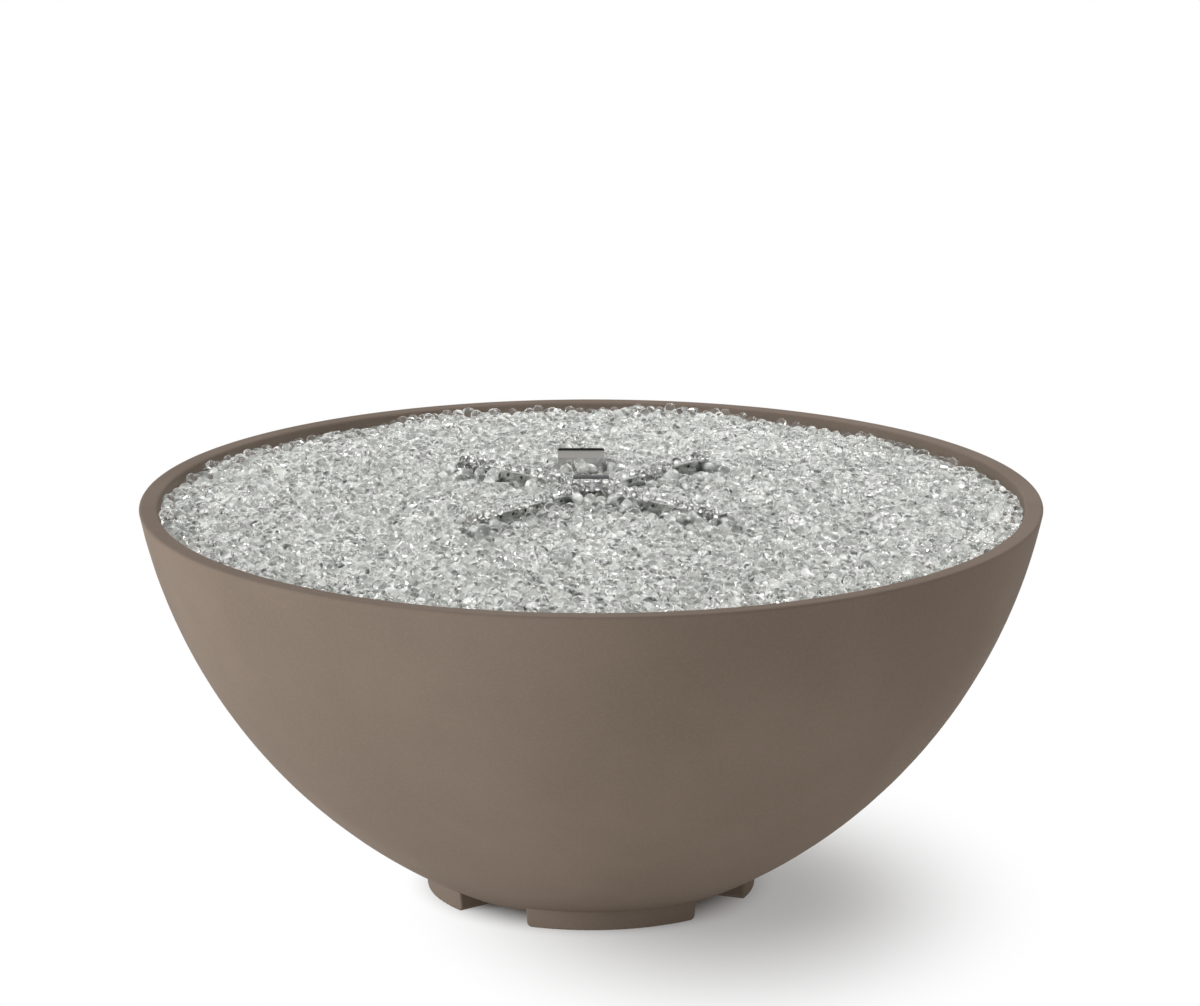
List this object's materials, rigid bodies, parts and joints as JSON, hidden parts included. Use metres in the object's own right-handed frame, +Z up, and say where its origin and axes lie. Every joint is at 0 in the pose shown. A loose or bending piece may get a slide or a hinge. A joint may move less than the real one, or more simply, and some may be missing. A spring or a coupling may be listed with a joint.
{
  "type": "gas fire pit bowl",
  "caption": "Free-standing cast concrete gas fire bowl with a glass bead bed, cross burner, pilot hood and a rear panel with push-and-turn knob and spark button.",
  "frame": {"origin": "on the ground under the bowl's axis, at the bottom centre of the bounding box", "axes": "+Z up, -Y the front, +Y the side with the control panel, +X to the right seen from the front"},
  "size_m": [1.0667, 1.0666, 0.4995],
  "materials": {
    "concrete": "smooth cast glass-fibre-reinforced concrete",
    "fire_glass": "clear tumbled glass",
    "burner_steel": "heat-dulled stainless sheet",
    "tray_steel": "rolled stainless sheet",
    "panel_steel": "grained stainless plate",
    "box_steel": "zinc-plated and painted sheet",
    "fastener_steel": "stainless",
    "brass": "machined brass",
    "cast_zinc": "die cast",
    "iron_pipe": "black pipe",
    "knob_plastic": "moulded phenolic",
    "button_plastic": "moulded",
    "module_plastic": "potted",
    "spring_steel": "wire",
    "ceramic": "white glazed alumina",
    "rubber": "matt",
    "hose_cover": "ribless rubber hose",
    "wire_cover": "silicone insulation",
    "copper": "drawn copper",
    "battery_case": "printed steel can, bare"
  },
  "bodies": {
    "root": {"bowl_shell": "concrete", "bowl_feet": "concrete", "fire_glass": "fire_glass", "burner_arms": "burner_steel", "arm_end_caps": "burner_steel", "burner_hub": "burner_steel", "hub_bridge": "burner_steel", "pilot_hood": "burner_steel", "burner_stands": "burner_steel", "burner_tray": "tray_steel", "tray_stiffeners": "tray_steel", "pilot_bracket": "tray_steel", "inlet_bracket": "tray_steel", "tray_screws": "fastener_steel", "stand_screws": "fastener_steel", "pilot_screws": "fastener_steel", "panel_screws": "fastener_steel", "bonnet_screws": "fastener_steel", "bracket_screws": "fastener_steel", "electrode_rod": "fastener_steel", "thermocouple_tip": "fastener_steel", "hub_coupling": "iron_pipe", "coupling_locknuts": "iron_pipe", "air_mixer": "iron_pipe", "gas_orifice": "brass", "orifice_elbow": "brass", "pilot_nozzle": "brass", "valve_body": "brass", "inlet_fitting": "brass", "inlet_locknut": "brass", "hose_nuts": "brass", "magnet_unit": "brass", "valve_bonnet": "cast_zinc", "igniter_nut": "module_plastic", "electrode_insulator": "ceramic", "pilot_tube": "copper", "thermocouple_lead": "copper", "ignition_wire": "wire_cover", "supply_hose": "hose_cover", "burner_hose": "hose_cover", "control_panel": "panel_steel", "control_box": "box_steel", "box_grommets": "rubber", "valve_spring": "spring_steel", "igniter_body": "button_plastic", "igniter_spring": "spring_steel", "igniter_battery": "battery_case", "spark_module": "module_plastic"},
    "knob_push_body": {"valve_push_rod": "fastener_steel"},
    "knob_body": {"control_knob": "knob_plastic", "valve_stem": "brass"},
    "rotor_body": {"valve_rotor": "brass"},
    "igniter_button_body": {"igniter_button": "button_plastic"},
    "shutter_body": {"air_shutter": "tray_steel", "shutter_screw": "brass"}
  },
  "joints": [
    {"name": "knob_push", "type": "slide", "parent": "root", "child": "knob_push_body", "axis": [0, -0.8751, 0.484], "range_m": [0, 0.004], "stiffness_N_per_m": 600, "springref_m": -0.005, "deforming": ["valve_spring"]},
    {"name": "knob_turn", "type": "hinge", "parent": "knob_push_body", "child": "knob_body", "pos_m": [0.032, 0.45708, 0.28982], "axis": [0, 0.8751, -0.484], "range_deg": [0, 210]},
    {"name": "rotor_turn", "type": "hinge", "parent": "root", "child": "rotor_body", "pos_m": [0.032, 0.45708, 0.28982], "axis": [0, 0.8751, -0.484], "range_deg": [0, 210]},
    {"name": "igniter_push", "type": "slide", "parent": "root", "child": "igniter_button_body", "axis": [0, -0.8751, 0.484], "range_m": [0, 0.0035], "stiffness_N_per_m": 900, "springref_m": -0.003, "deforming": ["igniter_spring"]},
    {"name": "shutter_turn", "type": "hinge", "parent": "root", "child": "shutter_body", "pos_m": [0, 0, 0], "axis": [0, 0, 1], "range_deg": [0, 60]}
  ],
  "couplings": [
    {"joint": "rotor_turn", "follows": "knob_turn", "ratio": 1}
  ]
}
